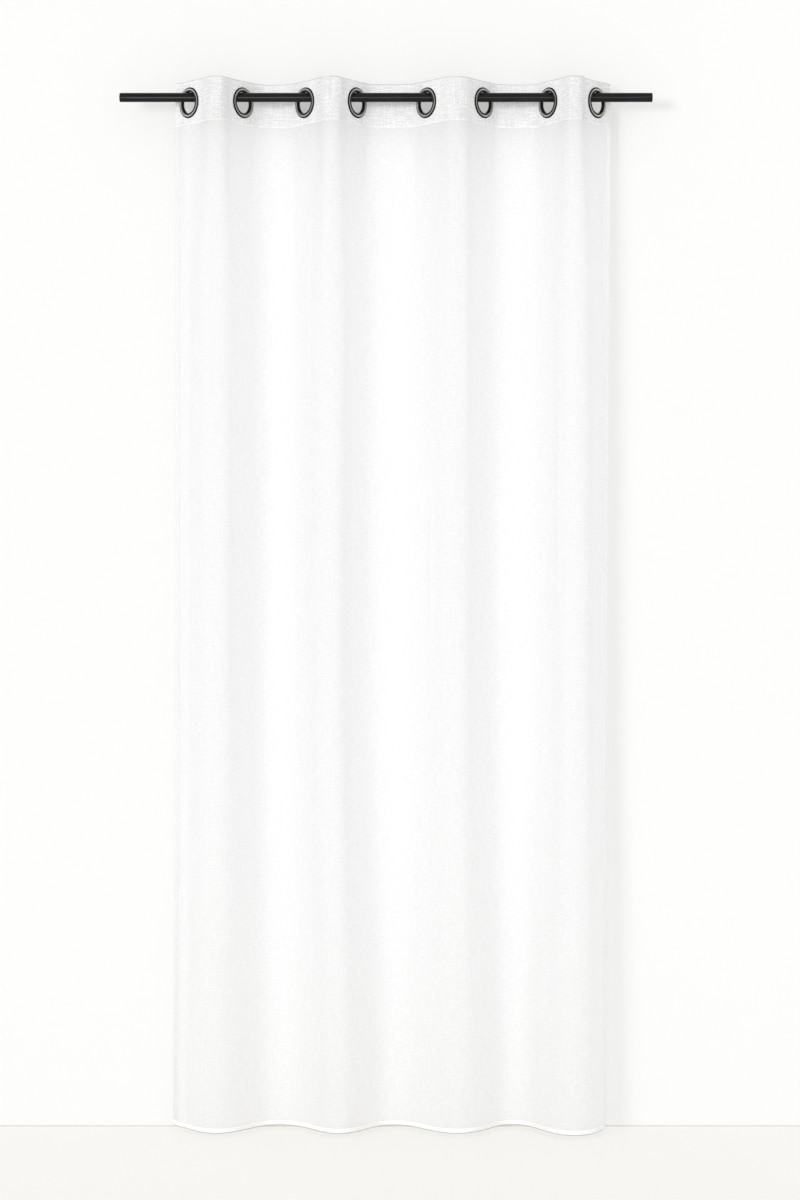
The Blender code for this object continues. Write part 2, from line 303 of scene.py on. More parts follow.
EYELET_BACK = (
    Ring(0.0256, -0.0011, 0.0),
    Ring(0.0256, -0.0030, 0.0),
    Ring(0.0259, -0.0034, 0.15),
    Ring(0.0265, -0.0036, 0.35),
    Ring(0.0285, -0.0037, 0.8),
    Ring(0.0310, -0.0037, 1.0),
    Ring(0.0328, -0.0034, 0.8),
    Ring(0.0340, -0.0028, 0.4),
    Ring(0.0348, -0.0021, 0.15),
    Ring(0.0350, -0.0015, 0.05),
    Ring(0.0350, -0.0011, 0.0),
    Ring(0.0300, -0.0011, 0.0),
)

# Rod end: metres from the end face, and radius
ROD_END = ((0.0, 0.0), (0.0, 0.0062), (0.0, 0.0088), (0.0003, 0.0097), (0.0009, 0.0103), (0.0018, 0.0105))

# Materials: scales of noise across and down the cloth for each metre, the weave, and colours
UPRIGHT_SLUBS = (460.0, 22.0)
FINE_SLUBS = (620.0, 480.0)
CROSS_SLUBS = (60.0, 620.0)
CLOUDS = (26.0, 9.0)
THREAD_PITCH = 0.0011
UPRIGHT_SHARE = 0.55  # of the threads' height, against those that run across
WAVE_PERIOD = math.pi / 10  # of the wave texture's bands, at a scale of 1
HEM_THROUGH = 0.35  # what a doubled hem leaves of the light through the cloth
VOILE_WHITE = (0.9355, 0.9355, 0.9435)
HEADING_WHITE = (0.968, 0.968, 0.973)
THREAD_WHITES = ((0.78, 0.78, 0.77), (0.90, 0.90, 0.89))
METAL_COLOURS = ((0.013, 0.012, 0.012), (0.68, 0.645, 0.615))  # dark, and on the crown
PAINT_COLOURS = ((0.004, 0.004, 0.0042), (0.009, 0.009, 0.0095))  # whole, and worn

# Stage, camera and light
FLOOR_Z = -2.3704
WALL_Y = 0.075
# Height of the painted shadow line at the backdrop's foot
WALL_FOOT = 0.0034
WALL_HALF_WIDTH = 5
WALL_TOP = 2.2
FLOOR_HALF_WIDTH = 7
FLOOR_FRONT_Y = -9
FLOOR_BACK_Y = 5
CAMERA_PLACE = (0.032, -6.488, -1.1507)
CAMERA_LENS = 85.0
CAMERA_SENSOR = 36.0
WORLD_SIDES = 0.80
WORLD_FRONT = 1.03
WALL_GLOW = (0.342, 0.342, 0.317)
# Painted light: the backdrop glows more towards the floor
WALL_FOOT_GLOW = 1.085  # times that, at the floor
FOOT_GLOW_HEIGHT = 1.0
# Painted shade on the backdrop in the gap behind the heading
SHADED_GLOW = 0.58  # the share of it that is left in the narrow gap behind the heading
SHADE_STARTS_Z = (-0.060, -0.035)
SHADE_ENDS_Z = (0.022, 0.040)
SHADE_MIDDLE_X = 0.012
SHADE_ENDS_X = (0.44, 0.50)  # to each side of the middle
WALL_COLOURS = ((0.539, 0.539, 0.559), (0.543, 0.543, 0.563))
FLOOR_COLOURS = ((0.640, 0.632, 0.613), (0.672, 0.664, 0.645))
# Painted shadow line at the backdrop's foot: its colours and its glow
SHADOW_LINE_COLOURS = ((0.66, 0.66, 0.65), (0.68, 0.68, 0.67))
FOOT_GLOW = (0.05, 0.05, 0.05)
FLOOR_GLOW = (0.305, 0.300, 0.287)
Sun = namedtuple("Sun", "name strength direction angle")
SUNS = (
    Sun("key", 0.97, (0.56, 0.82, -0.05), 16.0),
    Sun("fill", 0.57, (-0.34, 0.93, -0.08), 20.0),
)

Strip = namedtuple("Strip", "name place width height energy")
STRIPS = (
    Strip("gloss_left", (-1.20, -5.2, -1.45), 1.5, 0.30, 150.0),
    Strip("gloss_middle", (0.10, -5.2, -1.45), 0.8, 0.30, 25.0),
    Strip("gloss_right", (1.25, -5.2, -1.45), 0.3, 0.30, 30.0),
)


def smooth_step(low, high, value):
    share = min(max((value - low) / (high - low), 0.0), 1.0)
    return share * share * (3 - 2 * share)


def mix(first, second, share):
    return first + (second - first) * share


def direction(angle):
    return Vector((math.cos(angle), math.sin(angle)))


def forwards(number):
    """The sense in Y in which the cloth runs on from this eyelet: towards the front from the first one."""
    return -1 if number % 2 == 0 else 1


def crossing_angle(before, after):
    """The cloth's angle to the rod where it crosses the wave's middle line."""
    return WAVE_STEEPNESS * math.atan2(abs(after.y - before.y), after.x - before.x)


def edge_station(edge, sense, drop, drift):
    """A side edge's place and the cloth's direction there, at this drop."""
    run = min(max((drop - edge.leaves_at) / (edge.arrives_at - edge.leaves_at), 0.0), 1.0)
    place = Vector((mix(edge.on_rod, edge.at_hem, run), mix(edge.behind_rod, edge.behind_hem, drift)))
    angle = math.radians(mix(edge.angle_at_rod, edge.angle_at_hem, drift))
    return Station(place, direction(sense * angle), 0.0, 1.0)


def stations(drop):
    """The places that the cloth passes at this drop: side edge, slope, turn, slope, and so on."""
    drift = smooth_step(FOLDS_DRIFT_FROM, DROP, drop)
    roundness = smooth_step(HEADING_HEIGHT, SEAT_FADES_AT, drop)
    slopes = []
    for fold in FOLDS:
        slopes.append(Vector((mix(mix(fold.on_rod, fold.below, roundness), fold.at_hem, drift), 0.0)))
    turns = []
    for number, fold in enumerate(FOLDS[:-1]):
        depth = forwards(number) * mix(fold.turn_at_rod, fold.turn_at_hem, drift)
        turns.append(Vector(((slopes[number].x + slopes[number + 1].x) / 2, depth)))
    left = edge_station(LEFT_EDGE, -1, drop, drift)
    right = edge_station(RIGHT_EDGE, 1, drop, drift)
    turns = [left.place, *turns, right.place]

    found = [left]
    for number, slope in enumerate(slopes):
        before, after = turns[number], turns[number + 1]
        angle = mix(math.radians(FOLDS[number].ring_angle), crossing_angle(before, after), roundness)
        if 0 < number < len(slopes) - 1:
            slope.y = (before.y + after.y) / 2 * roundness
        seat = EYELET_SEAT * (1 - roundness)
        found.append(Station(slope, direction(forwards(number) * angle), seat, 1.0))
        crest = forwards(number) < 0
        hold = CREST_HOLDS * (1 - drift) if crest else VALLEY_HOLDS * roundness
        found.append(Station(after, direction(0.0), 0.0, 1 + hold))
    found[-1] = right
    return found


def cloth_between(start, end, share):
    """A point of the cloth from one station to the next: straight beside an eyelet, and one smooth bend."""
    cloth = (end.place - start.place).length * CLOTH_PER_CHORD
    bend = cloth - start.lead - end.lead
    along = share * cloth
    if along <= start.lead:
        return start.place + start.direction * along
    if along >= cloth - end.lead:
        return end.place - end.direction * (cloth - along)
    begin = start.place + start.direction * start.lead
    finish = end.place - end.direction * end.lead
    t = (along - start.lead) / bend
    crest = start.hold > 1 and start.place.y < end.place.y
    valley = end.hold > 1 and end.place.y > start.place.y
    leave = (t - 2 * t**2 + t**3) * bend * (start.hold if crest else 1.0)
    arrive = (t**3 - t**2) * bend * (end.hold if valley else 1.0)
    turn = 3 * t**2 - 2 * t**3
    return begin * (1 - turn) + finish * turn + start.direction * leave + end.direction * arrive


class Line:
    """The cloth's middle line at one drop, to be read at any length of cloth from its left edge."""

    def __init__(self, drop):
        found = stations(drop)
        points = [found[0].place]
        for start, end in zip(found, found[1:]):
            for step in range(HALF_FOLD_STEPS):
                points.append(cloth_between(start, end, (step + 1) / HALF_FOLD_STEPS))
        self.points = np.array([tuple(point) for point in points])
        steps = np.diff(self.points, axis=0)
        self.along = np.concatenate([[0.0], np.cumsum(np.hypot(steps[:, 0], steps[:, 1]))])
        self.length = self.along[-1]
        tangents = np.gradient(self.points, self.along, axis=0)
        tangents /= np.linalg.norm(tangents, axis=1)[:, None]
        self.normals = np.stack([tangents[:, 1], -tangents[:, 0]], axis=1)

    def read(self, along):
        """Places in plan and the directions out of the cloth's front, at these lengths of cloth."""
        places = [np.interp(along, self.along, self.points[:, axis]) for axis in (0, 1)]
        outs = [np.interp(along, self.along, self.normals[:, axis]) for axis in (0, 1)]
        normals = np.stack(outs, axis=1)
        return np.stack(places, axis=1), normals / np.linalg.norm(normals, axis=1)[:, None]


def crease_heights(along, drop):
    """How far the creases stand out of the cloth at these lengths of cloth and this drop."""
    out = np.zeros_like(along)
    for crease in CREASES:
        run = (drop - crease.top) / (crease.bottom - crease.top)
        if 0 < run < 1:
            middle = crease.along + crease.lean * run
            fade = math.sin(math.pi * run) ** 0.7
            out += crease.height * fade * np.exp(-(((along - middle) / crease.width) ** 2))
    return out


def corner_lifts(along, length):
    """How far the lower edge is rounded up near its two corners."""
    from_corner = np.minimum(along, length - along).clip(0.0)
    return CORNER_LIFT * (1 - from_corner / CORNER_LENGTH).clip(0.0) ** 2


def new_object(name, mesh, finishes):
    for finish in finishes:
        mesh.materials.append(finish)
    made = bpy.data.objects.new(name, mesh)
    bpy.context.collection.objects.link(made)
    return made


def grid_mesh(name, points, uvs, marks, keep=None):
    """A smooth mesh of a grid of points, with the cloth's own metres as its UV map, and marks by name."""
    rows, columns = points.shape[:2]
    index = np.arange(rows * columns).reshape(rows, columns)
    corners = [index[:-1, :-1], index[1:, :-1], index[1:, 1:], index[:-1, 1:]]
    quads = np.stack(corners, axis=-1).reshape(-1, 4)
    if keep is not None:
        quads = quads[keep.reshape(-1)]
    used, quads = np.unique(quads, return_inverse=True)
    quads = quads.reshape(-1, 4)
    mesh = bpy.data.meshes.new(name)
    mesh.from_pydata(points.reshape(-1, 3)[used].tolist(), [], quads.tolist())
    laid_flat = uvs.reshape(-1, 2)[used][quads.reshape(-1)]
    mesh.uv_layers.new(name="cloth").uv.foreach_set("vector", laid_flat.astype(np.float32).ravel())
    for mark, values in marks.items():
        kept = np.array(values).reshape(-1)[used]
        mesh.attributes.new(mark, "FLOAT", "POINT").data.foreach_set("value", kept.astype(np.float32))
    mesh.validate()
    mesh.shade_smooth()
    return mesh


def panel_columns(length):
    """Lengths of cloth and offsets out of the cloth for each column, with both side hems turned back."""
    left = [(turn.along, turn.out) for turn in SIDE_HEM]
    right = [(length - turn.along, turn.out) for turn in reversed(SIDE_HEM)]
    first, last = SIDE_HEM[-1].along, length - SIDE_HEM[-1].along
    middle = [(mix(first, last, step / PANEL_COLUMNS), 0.0) for step in range(1, PANEL_COLUMNS)]
    along, out = zip(*left, *middle, *right)
    return np.array(along), np.array(out)


def panel_rows():
    """Drops and offsets out of the cloth for each row, with the weighted hem rolled at the bottom."""
    top = HEADING_HEIGHT - PANEL_TUCK
    bottom = DROP - BOTTOM_HEM[0].up
    count = round((bottom - top) / PANEL_STEP)
    rows = [(mix(top, bottom, step / count), 0.0) for step in range(count)]
    rows += [(DROP - roll.up, roll.out) for roll in BOTTOM_HEM]
    return rows


def crest_share(line, along, width):
    """How near each place is to the front of a fold, from 0 to 1: where the painted shade on the folds
    falls.
    """
    share = np.zeros_like(along)
    for number in range(0, len(FOLDS) - 1, 2):
        middle = line.along[HALF_FOLD_STEPS * (2 * number + 2)]
        share += np.exp(-(((along - middle) / width) ** 2))
    return share


def panel_tones(line, along, drop):
    """The panel's painted light and shade, as a factor on its colour, at these lengths of cloth and this
    drop.
    """
    # Painted shade under the rolled hem
    if drop > DROP - EDGE_WIDTH:
        return np.full(len(along), UNDER_SHADE)
    # Painted shade just inside the left side hem
    left_shade = LEFT_SHADE_SHARE * np.exp(-(((along - LEFT_SHADE_AT) / LEFT_SHADE_WIDTH) ** 2))
    fold_front_shade = crest_share(line, along, PANEL_CREST_WIDTH) + left_shade
    in_hem = drop > DROP - HEM_BAND
    tone = 1 - PANEL_CREST_SHADE * fold_front_shade * (0.0 if in_hem else 1.0)
    # Painted highlight on the creases, painted shade where they dip in
    tone += CREASE_LIGHT * crease_heights(along, drop) * (1 - near_lower_edge(drop))
    # Painted shade just above the rolled hem
    if HEM_BAND < DROP - drop < HEM_LINE:
        tone = tone * HEM_LINE_SHADE
    # Painted shade along the side edges
    from_edge = np.minimum(along, line.length - along)
    return np.where(from_edge < EDGE_WIDTH, EDGE_SHADE, tone)


def near_lower_edge(drop):
    """How far the creases have faded towards the hem, from 0 to 1."""
    start, end = CREASES_END
    return smooth_step(DROP - start, DROP - end, drop)


def panel(finish):
    """The sheer panel as one thin sheet, with its side hems and its lower hem turned."""
    points, uvs, doubled, tones = [], [], [], []
    for drop, row_out in panel_rows():
        line = Line(min(drop, DROP))
        along, out = panel_columns(line.length)
        places, normals = line.read(along)
        out = out + row_out + crease_heights(along, drop) * (1 - near_lower_edge(drop))
        places = places + normals * out[:, None]
        lift = corner_lifts(along, line.length) * smooth_step(DROP - CORNERS_START, DROP - HEM_HEIGHT, drop)
        heights = TOP_EDGE_Z - drop + lift
        points.append(np.column_stack([places, heights]))
        down = drop + (BACK_SHIFT if row_out < 0 else 0.0)
        side = np.where(out < SIDE_BACK_FROM, SIDE_BACK_SHIFT, 0.0)
        uvs.append(np.column_stack([along + side, np.full(len(along), -down)]))
        hems = np.where(line.length - along < SIDE_HEM_WIDTH, RIGHT_HEM_DOUBLED, 0.0)
        # The left hem's smaller share is painted shade
        hems = np.where(along < SIDE_HEM_WIDTH, LEFT_HEM_DOUBLED, hems)
        doubled.append(np.maximum(hems, 1.0 if drop > DROP - HEM_BAND else 0.0))
        tones.append(panel_tones(line, along, drop))
    mesh = grid_mesh("voile_panel", np.array(points), np.array(uvs), {"doubled": doubled, "tone": tones})
    return new_object("voile_panel", mesh, [finish])


def heading_rows():
    """Drops and offsets for a strip that starts at the back of the lower edge and ends at the seam."""
    top, foot = HEADING_BODY
    shares = [step / HEADING_ROWS for step in range(HEADING_ROWS + 1)]
    back = [(mix(HEADING_BACK_FOOT, top, share), -HEADING_LAYER) for share in shares]
    front = [(mix(top, foot, share), HEADING_LAYER) for share in shares]
    rows = [tuple(layer) for layer in HEADING_BACK] + back
    rows += [tuple(layer) for layer in HEADING_TOP_BACK + HEADING_TOP_FRONT] + front
    return rows + [tuple(layer) for layer in HEADING_SEAM]


def outside_eyelets(centres):
    """Which of these places in the heading, metres of cloth and drop, lie outside the eyelets' holes."""
    outside = np.ones(centres.shape[:2], dtype=bool)
    for along in eyelet_lengths():
        away = np.hypot(centres[..., 0] - along, centres[..., 1] - HEADING_HEIGHT / 2)
        outside &= away > HOLE_RADIUS
    return outside


def eyelet_lengths():
    """Metres of cloth from the left edge to each eyelet's centre."""
    line = Line(0.0)
    return [line.along[HALF_FOLD_STEPS * (2 * number + 1)] for number in range(len(FOLDS))]


def heading_ripple(along, drop):
    """Shallow puckers of the stiffened strip: waves, in radians for each metre, quiet near the eyelets."""
    down = drop - HEADING_HEIGHT / 2
    away = np.min([np.hypot(along - place, down) for place in eyelet_lengths()], axis=0)
    free = np.clip((away - RIPPLE_CLEAR) / RIPPLE_FADE, 0, 1)
    waves = np.sin(along * 260 + np.sin(drop * 90) * 1.4) * np.sin(drop * 75 + along * 21)
    pulls = np.sin(along * 95 + 1.1) * np.sin(drop * 31.4)
    return free * (FINE_RIPPLE * waves + BROAD_RIPPLE * pulls)


def heading(finish):
    """The doubled heading as one thin strip, folded over at the top and cut away round the eyelets."""
    line = Line(0.0)
    count = round(line.length / HEADING_STEP)
    inner = np.linspace(HEADING_INSET, line.length - HEADING_INSET, count)
    along = np.concatenate([[0.0, HEADING_RIM], inner, [line.length - HEADING_RIM, line.length]])
    thickness = np.ones(len(along))
    thickness[0] = thickness[-1] = RIM_THICKNESS[0]
    thickness[1] = thickness[-2] = RIM_THICKNESS[1]
    middles, normals = line.read(along)
    # Painted shade on the front of each fold
    tone = 1 - HEADING_CREST_SHADE * crest_share(line, along, HEADING_CREST_WIDTH)
    points, uvs, lengths, doubled, tones = [], [], [], [], []
    for drop, out in heading_rows():
        rippled = RIPPLED[0] < drop < RIPPLED[1]
        bumps = heading_ripple(along, drop) * (1 if rippled else 0)
        places = middles + normals * (out * thickness + bumps)[:, None]
        points.append(np.column_stack([places, np.full(len(along), TOP_EDGE_Z - drop)]))
        lengths.append(np.column_stack([along, np.full(len(along), drop)]))
        shift = HEADING_BACK_SHIFT if out < 0 else 0.0
        uvs.append(np.column_stack([along, np.full(len(along), -drop + shift)]))
        doubled.append(np.full(len(along), SEAM_DOUBLED if drop > SEAM_DOUBLED_FROM else 0.0))
        # Painted shade along the top fold
        tones.append(np.full(len(along), TOP_EDGE_SHADE) if drop < TOP_EDGE_WIDTH else tone)
    lengths = np.array(lengths)
    centres = (lengths[:-1, :-1] + lengths[1:, :-1] + lengths[1:, 1:] + lengths[:-1, 1:]) / 4
    marks = {"doubled": doubled, "tone": tones}
    mesh = grid_mesh("heading_strip", np.array(points), np.array(uvs), marks, outside_eyelets(centres))
    return new_object("heading_strip", mesh, [finish])


def stitch_mesh(name, seats):
    """One mesh of short rounded threads, each laid at a place, along a direction and out of the cloth."""
    corners, faces = [], []
    half = STITCH_LENGTH / 2
    for place, along, out in seats:
        across = along.cross(out)
        first = len(corners)
        corners.append(place - along * half)
        for run in (-STITCH_SHOULDER, STITCH_SHOULDER):
            for side, rise in ((1, 0), (0, 1), (-1, 0), (0, -1)):
                radius = STITCH_THICKNESS / 2
                corners.append(place + along * half * run + across * side * radius + out * rise * radius)
        corners.append(place + along * half)
        for side in range(4):
            after = (side + 1) % 4
            faces.append((first, first + 1 + after, first + 1 + side))
            faces.append((first + 1 + side, first + 1 + after, first + 5 + after, first + 5 + side))
            faces.append((first + 5 + side, first + 5 + after, first + 9))
    mesh = bpy.data.meshes.new(name)
    mesh.from_pydata([tuple(corner) for corner in corners], [], faces)
    mesh.validate()
    mesh.shade_smooth()
    return mesh


def seats_along(drop, out):
    """Stitches along the cloth at one drop, on its front or its back."""
    line = Line(drop)
    count = int(line.length / STITCH_PITCH)
    along = (np.arange(count) + 0.5) * line.length / count
    places, normals = line.read(along)
    rounded = smooth_step(DROP - CORNERS_START, DROP - HEM_HEIGHT, drop)
    lifts = corner_lifts(along, line.length) * rounded
    seats = []
    for place, normal, lift in zip(places, normals, lifts):
        front = Vector((*normal, 0.0))
        spot = Vector((*place, TOP_EDGE_Z - drop + lift)) + front * out
        seats.append((spot, Vector((-normal[1], normal[0], 0.0)), front if out > 0 else -front))
    return seats


def seats_down(inset, side, out):
    """Stitches down a side hem, on its front or its back."""
    seats = []
    top = HEADING_HEIGHT + SIDE_STITCHES_CLEAR[0]
    bottom = DROP - HEM_HEIGHT - SIDE_STITCHES_CLEAR[1]
    count = int((bottom - top) / STITCH_PITCH)
    for step in range(count):
        drop = mix(top, bottom, (step + 0.5) / count)
        if step % 4 == 0:
            line = Line(drop)
        along = inset if side < 0 else line.length - inset
        places, normals = line.read(np.array([along]))
        front = Vector((*normals[0], 0.0))
        lift = crease_heights(np.array([along]), drop)[0]
        spot = Vector((*places[0], TOP_EDGE_Z - drop)) + front * (out + lift)
        seats.append((spot, Vector((0.0, 0.0, -1.0)), front if out > 0 else -front))
    return seats


def stitching(finish):
    """Lockstitch lines: the bottom hem, the two side hems and the heading's seam, on both faces."""
    hem_seats, seam_seats, sides = [], [], []
    for out in HEM_STITCHES_OUT:
        hem_seats += seats_along(DROP - HEM_STITCHES_UP, out)
    for out in SEAM_STITCHES_OUT:
        seam_seats += seats_along(SEAM_STITCHES_DOWN, out)
    hem = stitch_mesh("hem_stitching", hem_seats)
    seam = stitch_mesh("seam_stitching", seam_seats)
    for side in (-1, 1):
        for inset, out in SIDE_STITCHES:
            sides += seats_down(inset, side, out)
    side_hems = stitch_mesh("side_hem_stitching", sides)
    return [new_object(mesh.name, mesh, [finish]) for mesh in (hem, seam, side_hems)]


def turned(name, section, finish, sides):
    """A ring turned about the Y axis, with the section's paleness kept for the metal's colour."""
    shape = bmesh.new()
    tone = shape.verts.layers.float.new("pale")
    rings = []
    for step in range(sides):
        angle = 2 * math.pi * step / sides
        ring = []
        for point in section:
            place = (point.radius * math.cos(angle), -point.height, point.radius * math.sin(angle))
            corner = shape.verts.new(place)
            corner[tone] = point.pale
            ring.append(corner)
        rings.append(ring)
    count = len(section)
    for ring, following in zip(rings, rings[1:] + rings[:1]):
        for point in range(count):
            after = (point + 1) % count
            shape.faces.new([ring[point], ring[after], following[after], following[point]])
    bmesh.ops.recalc_face_normals(shape, faces=shape.faces)
    mesh = bpy.data.meshes.new(name)
    shape.to_mesh(mesh)
    shape.free()
    mesh.shade_smooth()
    mesh.materials.append(finish)
    return mesh


def eyelets(finish):
    """Both halves of each press eyelet, at the folds' places and angles on the rod."""
    made = []
    halves = {
        "front": turned("eyelet_front_half", EYELET_FRONT, finish, EYELET_SIDES),
        "back": turned("eyelet_back_half", EYELET_BACK, finish, EYELET_SIDES),
    }
    for number, fold in enumerate(FOLDS):
        angle = forwards(number) * math.radians(fold.ring_angle)
        for half, mesh in halves.items():
            piece = bpy.data.objects.new(f"press_eyelet_{number + 1}_{half}", mesh)
            bpy.context.collection.objects.link(piece)
            piece.location = (fold.on_rod, 0.0, EYELET_CENTRE_Z)
            piece.rotation_euler = (0.0, 0.0, angle)
            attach(piece, "root")
            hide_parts(f"eyelet_{number + 1}_{half}")
            made.append(piece)
    return made


def rod(finish):
    """The plain round rod, with its ends softened."""
    shape = bmesh.new()
    half = ROD_LENGTH / 2
    stops = [(-half + run, radius) for run, radius in ROD_END]
    full = half - ROD_END[-1][0]
    stops += [(mix(-full, full, step / ROD_RINGS), ROD_RADIUS) for step in range(1, ROD_RINGS)]
    stops += [(half - run, radius) for run, radius in reversed(ROD_END)]
    rings = []
    for place, radius in stops:
        if radius == 0.0:
            rings.append([shape.verts.new((place, 0.0, 0.0))])
            continue
        ring = []
        for step in range(ROD_SIDES):
            angle = 2 * math.pi * step / ROD_SIDES
            ring.append(shape.verts.new((place, radius * math.cos(angle), radius * math.sin(angle))))
        rings.append(ring)
    for ring, following in zip(rings, rings[1:]):
        for step in range(ROD_SIDES):
            after = (step + 1) % ROD_SIDES
            corners = [ring[step % len(ring)], ring[after % len(ring)]]
            corners += [following[after % len(following)], following[step % len(following)]]
            shape.faces.new(list(dict.fromkeys(corners)))
    bmesh.ops.recalc_face_normals(shape, faces=shape.faces)
    mesh = bpy.data.meshes.new("round_rod")
    shape.to_mesh(mesh)
    shape.free()
    mesh.shade_smooth()
    return new_object("round_rod", mesh, [finish])


def node(tree, kind, **settings):
    made = tree.nodes.new(kind)
    for name, value in settings.items():
        setattr(made, name, value)
    return made


def ramp(tree, source, low, high, start, end):
    """A map from low..high of the source to start..end, kept inside."""
    found = node(tree, "ShaderNodeMapRange")
    found.inputs["From Min"].default_value = low
    found.inputs["From Max"].default_value = high
    found.inputs["To Min"].default_value = start
    found.inputs["To Max"].default_value = end
    tree.links.new(source, found.inputs["Value"])
    return found.outputs["Result"]


def arithmetic(tree, operation, first, second):
    found = node(tree, "ShaderNodeMath", operation=operation)
    for socket, value in zip(found.inputs, (first, second)):
        if isinstance(value, (int, float)):
            socket.default_value = value
        else:
            tree.links.new(value, socket)
    return found.outputs["Value"]


def scaled(tree, source, scale):
    found = node(tree, "ShaderNodeMapping")
    found.inputs["Scale"].default_value = scale
    tree.links.new(source, found.inputs["Vector"])
    return found.outputs["Vector"]


def noise(tree, source, scale, detail=2.0):
    found = node(tree, "ShaderNodeTexNoise")
    found.inputs["Scale"].default_value = 1.0
    found.inputs["Detail"].default_value = detail
    tree.links.new(scaled(tree, source, scale), found.inputs["Vector"])
    return found.outputs["Fac"]


def between(tree, share, first, second):
    """A colour between two colours by a share."""
    found = node(tree, "ShaderNodeMix", data_type="RGBA")
    found.inputs["A"].default_value = (*first, 1.0)
    found.inputs["B"].default_value = (*second, 1.0)
    tree.links.new(share, found.inputs["Factor"])
    return found.outputs["Result"]


def cloth_noise(tree, cloth, scales, grain, detail=2.0):
    """Noise on the cloth laid flat, drawn out across or down it."""
    across, down = scales
    return noise(tree, cloth, (across * grain, down * grain, 1.0), detail)


def bump(tree, height, distance, strength):
    found = node(tree, "ShaderNodeBump")
    found.inputs["Distance"].default_value = distance
    found.inputs["Strength"].default_value = strength
    tree.links.new(height, found.inputs["Height"])
    return found.outputs["Normal"]


def start_material(name, colour):
    made = bpy.data.materials.new(name)
    made.use_nodes = True
    made.diffuse_color = (*colour, 1.0)
    tree = made.node_tree
    tree.nodes.clear()
    return made, tree, node(tree, "ShaderNodeOutputMaterial")


def threads(tree, cloth, pitch, share):
    """Threads that run down the cloth and across it, as a height from 0 to 1, slightly uneven in pitch."""
    found = []
    for axis in (0, 1):
        wave = node(tree, "ShaderNodeTexWave", wave_type="BANDS", bands_direction="XY"[axis])
        wave.inputs["Scale"].default_value = 1.0
        wave.inputs["Distortion"].default_value = 1.2
        wave.inputs["Detail"].default_value = 1.0
        size = WAVE_PERIOD / pitch
        stretch = [size * 0.02, size * 0.02, 0.0]
        stretch[axis] = size
        tree.links.new(scaled(tree, cloth, stretch), wave.inputs["Vector"])
        found.append(wave.outputs["Fac"])
    upright = arithmetic(tree, "MULTIPLY", found[0], share)
    across = arithmetic(tree, "MULTIPLY", found[1], 1 - share)
    return arithmetic(tree, "ADD", upright, across)


